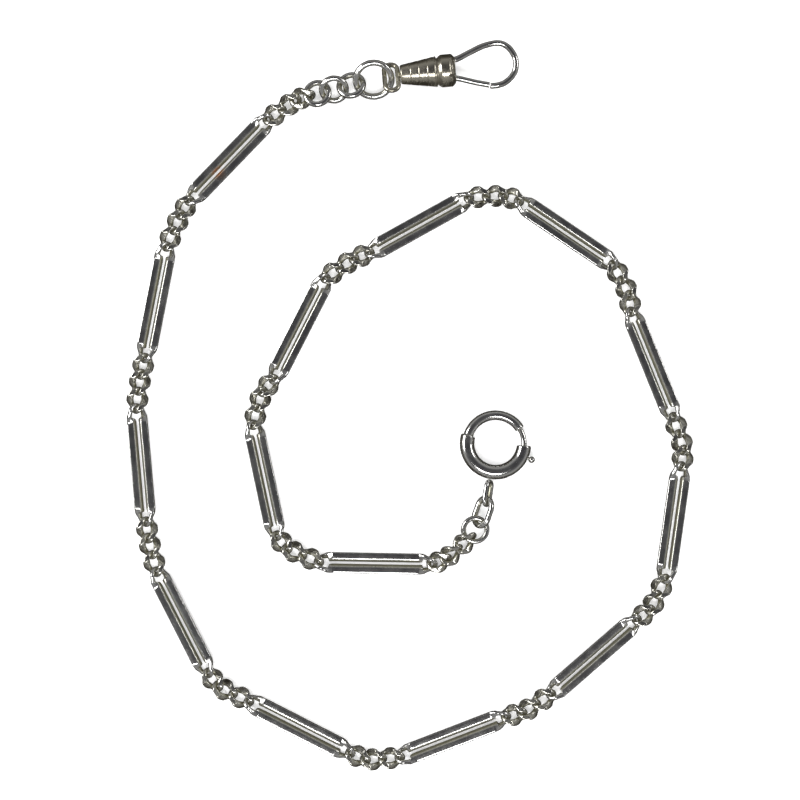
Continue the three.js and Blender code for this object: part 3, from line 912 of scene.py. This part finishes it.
def make_links():
    order = chain_order()
    for index, (before, name, after) in enumerate(zip(order, order[1:], order[2:])):
        start, end = hook_point(before, name), hook_point(name, after)
        if name.startswith("bar_link"):
            material = STAINED_BAR if name == "bar_link_01" else None
            place = between(start, end, 0)
            add_piece(name + "_fine", bar_link(index), place, name, name, "bar_silver", material)
        elif name.startswith("curb_link"):
            place = between(start, end, CURB_ROLLS.get(name, 0))
            add_piece(name + "_fine", curb_link(index), place, name, name, "curb_silver")
        elif name.startswith("curb_pair"):
            place = between(start, end, CURB_ROLLS.get(name, 0))
            for side, letter in ((-1, "a"), (1, "b")):
                shift = Matrix.Translation((side * CURB_PAIR_PITCH / 2 * MM, 0, 0))
                link = curb_link(index + 100 * (side + 2))
                add_piece(f"{name}_{letter}", link, place @ shift, name, name, "curb_silver")
        elif name == "oval_ring":
            place = between(start, end, OVAL["roll"])
            link = oval_loop(OVAL["half_length"], OVAL["bend_radius"], OVAL["wire"], index)
            add_piece(name + "_fine", link, place, name, name, "ring_silver")
        else:
            ring = RINGS[name]
            place = between(start, end, ring["roll"])
            link = round_ring(ring["radius"], ring["wire"], index, seam_at=70 + 47 * index)
            add_piece(name + "_fine", link, place, name, name, "ring_silver")


# ---- dog clip -------------------------------------------------------------------------------------


def clip_frame():
    x = Vector(JOINTS[frozenset(("swivel_eye", "dog_clip"))]["axis"])
    z = Vector(JOINTS[frozenset(("dog_clip", "clip_gate"))]["axis"])
    origin = hook_point("swivel_eye", "large_jump_ring") + x * CLIP_REACH * MM
    return axes_matrix(origin, x, z.cross(x), z)


def barrel_profile():
    """The turned outline from the neck to the collar's face, with its lines, bead and groove."""
    c = CLIP
    start = c["cone_length"] + c["groove_width"]
    lines = []
    for share in (0.27, 0.5, 0.74):
        x = share * c["cone_length"]
        radius = c["neck_radius"] + share * (c["mouth_radius"] - c["neck_radius"])
        lines += [(x - 0.07, radius), (x, radius - 0.05), (x + 0.07, radius)]
    points = [
        (0, 0),
        (0, c["neck_radius"] - 0.12),
        (0.12, c["neck_radius"]),
        *lines,
        (c["cone_length"] - 0.35, c["mouth_radius"] - 0.06),
        (c["cone_length"] - 0.28, c["mouth_radius"] - 0.12),
        (c["cone_length"] - 0.2, c["mouth_radius"]),
        (c["cone_length"], c["mouth_radius"] - 0.03),
        (c["cone_length"], c["groove_radius"]),
        (start, c["groove_radius"]),
        (start, c["collar_radius"] - 0.6 * c["chamfer"]),
        (start + c["chamfer"], c["collar_radius"]),
        (COLLAR_FACE - 0.85, c["collar_radius"]),
        (COLLAR_FACE - 0.8, c["collar_radius"] - 0.05),
        (COLLAR_FACE - 0.75, c["collar_radius"]),
        (COLLAR_FACE - c["chamfer"], c["collar_radius"]),
        (COLLAR_FACE, c["collar_radius"] - c["chamfer"]),
        (COLLAR_FACE, 0),
    ]
    return subdivided(rounded(points, 0.12), 0.45)


def tool(profile, lift=(0, 0, 0)):
    """A turned shape on the clip's axis, or lifted off it, that cuts a hole."""
    shape = revolve(profile, straight_axis, TURNED_SIDES, uneven=0, inside=0.9)
    return shape.moved(Matrix.Translation(lift))


def round_the_pin(profile, **options):
    """A turned shape whose axis is the gate pin's."""
    shape = revolve(profile, straight_axis, TURNED_SIDES, **options)
    place = Matrix.Translation((COLLAR_FACE - CLIP["pin_depth"], CLIP["pin_offset"], 0))
    return shape.moved(place @ Matrix.Rotation(-90 * DEG, 4, "Y"))


def cylinder(low, high, radius):
    return [(low, 0), (low, radius), (high, radius), (high, 0)]


def make_clip():
    place = clip_frame()
    c = CLIP
    gap = c["running_gap"]
    stem_end = c["stem_length"] + c["head_length"]

    loop = oval_loop(c["eye_half_width"], c["eye_half_length"], c["eye_wire"], 5)
    roll = Matrix.Rotation(c["eye_roll"] * DEG, 4, "X")
    aside = Matrix.Translation((0, c["eye_offset"], 0))
    turn = roll @ aside @ Matrix.Rotation(90 * DEG, 4, "Z")
    loop = loop.moved(Matrix.Translation((-EYE_SET_BACK, 0, 0)) @ turn)
    stem = rounded(
        [
            (-c["eye_wire"] - gap, 0),
            (-c["eye_wire"] - gap, c["stem_radius"] + 0.1),
            (-0.02, c["stem_radius"]),
            (c["stem_length"], c["stem_radius"]),
            (c["stem_length"], c["head_radius"]),
            (stem_end, c["head_radius"]),
            (stem_end, 0),
        ],
        0.08,
    )
    eye = carved("swivel_eye_fine", loop, unions=[revolve(stem, straight_axis, TURNED_SIDES, seed=3)])
    add_piece("swivel_eye_fine", eye, place, "swivel_eye", "swivel_eye", "clip_nickel", SOLDERED_EYE)

    seat_radius, head_radius = c["stem_radius"] + gap, c["head_radius"] + gap
    seat = tool(
        [
            (-1, 0),
            (-1, seat_radius),
            (c["stem_length"] - gap, seat_radius),
            (c["stem_length"] - gap, head_radius),
            (stem_end + gap, head_radius),
            (stem_end + gap, 0),
        ]
    )
    root = cylinder(COLLAR_FACE - c["hook_root"] - gap, COLLAR_FACE + 1, c["hook_wire"] + gap)
    hook_hole = tool(root, lift=(0, c["hook_leg"], 0))
    slot_half = c["gate_wire"] + gap
    slot = box_shape(
        (COLLAR_FACE - c["slot_depth"], -c["collar_radius"] - 1, -slot_half),
        (COLLAR_FACE + 1, c["slot_top"], slot_half),
    )
    pin_hole = round_the_pin(cylinder(-3, 3, c["pin_radius"] + gap / 2), uneven=0, inside=0.9)
    body = revolve(barrel_profile(), straight_axis, 96, seed=11, uneven=0.003)
    barrel = carved("clip_barrel_fine", body, cuts=[seat, hook_hole, slot, pin_hole])
    add_piece("clip_barrel_fine", barrel, place, "dog_clip", "clip_barrel", "clip_nickel")

    axis = route_axis(HOOK_ROUTE)
    wire = revolve(rod(0, axis.length, c["hook_wire"], dome=0.7), axis, 28, seed=21, uneven=0.01)
    pin_place = Matrix.Translation((COLLAR_FACE - c["pin_depth"], c["pin_offset"], 0))
    reach, angles = c["gate_reach"], np.linspace(-34, -4, 31)
    swept = sector(angles, reach - 1.5, reach + c["tip_gap"], 1).moved(pin_place)
    hook = carved("clip_hook_fine", wire, cuts=[swept])
    add_piece("clip_hook_fine", hook, place, "dog_clip", "clip_hook", "hook_silver")

    reach = math.sqrt(c["collar_radius"] ** 2 - c["pin_offset"] ** 2) - c["pin_radius"] / 2
    pin = round_the_pin(rod(-reach, reach, c["pin_radius"], dome=0.5), seed=4)
    add_piece("gate_pin_fine", pin, place, "dog_clip", "gate_pin", "clip_nickel")

    axis = route_axis(GATE_ROUTE)
    leg = revolve(rod(0, axis.length, c["gate_wire"], dome=0.6), axis, 28, seed=31, uneven=0.008)
    rim = rounded(cylinder(-c["gate_wire"], c["gate_wire"], c["gate_eye"]), 0.08)
    coil_start = c["gate_wire"] - c["coil_length"]
    hole = round_the_pin(cylinder(-1, 1, c["pin_radius"] + gap), uneven=0, inside=0.8)
    pocket = round_the_pin(cylinder(coil_start - gap, 1, c["gate_eye"] + gap), uneven=0, inside=0.8)
    beyond = sector(np.linspace(-34, 0, 35), c["gate_reach"], c["gate_reach"] + 2, 1).moved(pin_place)
    cuts = [hole, pocket, beyond]
    gate = carved("clip_gate_fine", leg, cuts=cuts, unions=[round_the_pin(rim)])
    add_piece("clip_gate_fine", gate, place, "clip_gate", "clip_gate", "hook_silver")

    coil_wire = GATE_COIL["wire"]
    middle = (c["coil_radius"] + c["pin_radius"] + gap) / 2
    coil_ends = (coil_start + coil_wire, c["gate_wire"] - coil_wire)
    coil = helix(straight_axis, *coil_ends, radius=middle, **GATE_COIL)
    coil = coil.moved(pin_place @ Matrix.Rotation(-90 * DEG, 4, "Y"))
    add_piece("gate_spring_coil", coil, place, "dog_clip", "gate_spring", "spring_steel")


# ---- bolt ring ------------------------------------------------------------------------------------


def bolt_frame():
    slide = JOINTS[frozenset(("bolt_ring", "bolt"))]
    origin, z = Vector(slide["pos_m"]), -Vector(slide["axis"])
    x = (origin - hook_point("oval_ring", "bolt_ring")).normalized()
    return axes_matrix(origin, x, z.cross(x), z)


def tube_profile():
    """Down the bore, round the sleeve's mouth, back along the outside and into the socket."""
    b = BOLT
    per = 1 / (b["radius"] * DEG)
    lip = 0.14 * per
    socket_end = b["gap_to"] - 360 + b["socket"]
    corners = [
        (b["sleeve_from"] + 12, 0),
        (b["sleeve_from"] + 12, b["bore"]),
        (b["sleeve_to"] - lip / 2, b["bore"]),
        (b["sleeve_to"], b["bore"] + 0.08),
        (b["sleeve_to"], b["sleeve"] - 0.16),
        (b["sleeve_to"] - lip, b["sleeve"]),
        (b["sleeve_from"] + lip, b["sleeve"]),
        (b["sleeve_from"], b["sleeve"] - 0.14),
        (b["sleeve_from"], b["arc"]),
        (b["gap_to"] - 360 + lip, b["arc"]),
        (b["gap_to"] - 360, b["arc"] - 0.12),
        (b["gap_to"] - 360, b["bore"]),
        (socket_end, b["bore"]),
        (socket_end, 0),
    ]
    corners = [(place / per, radius) for place, radius in corners]
    fine = subdivided(rounded(corners, 0.1), 0.3)
    return [(place * per, radius) for place, radius in fine]


def make_bolt_ring():
    place = bolt_frame()
    b = BOLT
    per = 1 / (b["radius"] * DEG)
    axis = ring_axis(b["radius"])

    slot_angles = np.linspace(b["knob_at"] - b["travel"] - 4, b["knob_at"] + 4, 17)
    slot = sector(slot_angles, b["radius"], b["radius"] + 2 * b["sleeve"], b["slot_half"])
    body = revolve(tube_profile(), axis, 40, seed=41, uneven=0.004)
    tube = carved("bolt_ring_tube_fine", body, cuts=[slot])
    add_piece("bolt_ring_tube_fine", tube, place, "bolt_ring", "bolt_ring_tube", "bolt_silver")

    rod_end = b["gap_to"] + b["bite"]
    bolt = revolve(rod(b["bolt_from"], rod_end, b["wire"], per, 0.5, 0.3), axis, 24, seed=42)
    turn = Matrix.Rotation(b["knob_at"] * DEG, 4, "Z")
    knob_radius = b["radius"] + b["knob_lift"]
    post = revolve(cylinder(b["radius"], knob_radius, b["knob_post"]), straight_axis, 16)
    arcs = np.linspace(0, 180, 17) * DEG
    ball = [(knob_radius - b["knob_ball"] * math.cos(a), b["knob_ball"] * math.sin(a)) for a in arcs]
    knob = revolve(ball, straight_axis, 24, seed=43).moved(turn)
    mesh = carved("bolt_and_knob_fine", bolt, unions=[post.moved(turn), knob])
    add_piece("bolt_and_knob_fine", mesh, place, "bolt", "bolt_and_knob", "bolt_silver")

    ends = (b["sleeve_from"] + 14, b["bolt_from"] - 2)
    spring = helix(axis, *ends, radius=b["wire"] - BOLT_COIL["wire"], **BOLT_COIL)
    add_piece("bolt_spring_coil", spring, place, "bolt_ring", "bolt_spring", "spring_steel")

    loop = oval_loop(b["eye_half_length"], b["eye_half_width"], b["eye_wire"], 44)
    centre = b["radius"] + b["sleeve"] + b["solder_gap"] + b["eye_half_length"] + b["eye_wire"]
    turn = Matrix.Rotation(b["eye_roll"] * DEG, 4, "X")
    loop = loop.moved(Matrix.Translation((-centre, 0, 0)) @ turn)
    add_piece("bolt_ring_eye_fine", loop, place, "bolt_ring", "bolt_ring_eye", "ring_silver")


make_links()
make_clip()
make_bolt_ring()

bpy.context.scene.view_settings.view_transform = "Standard"
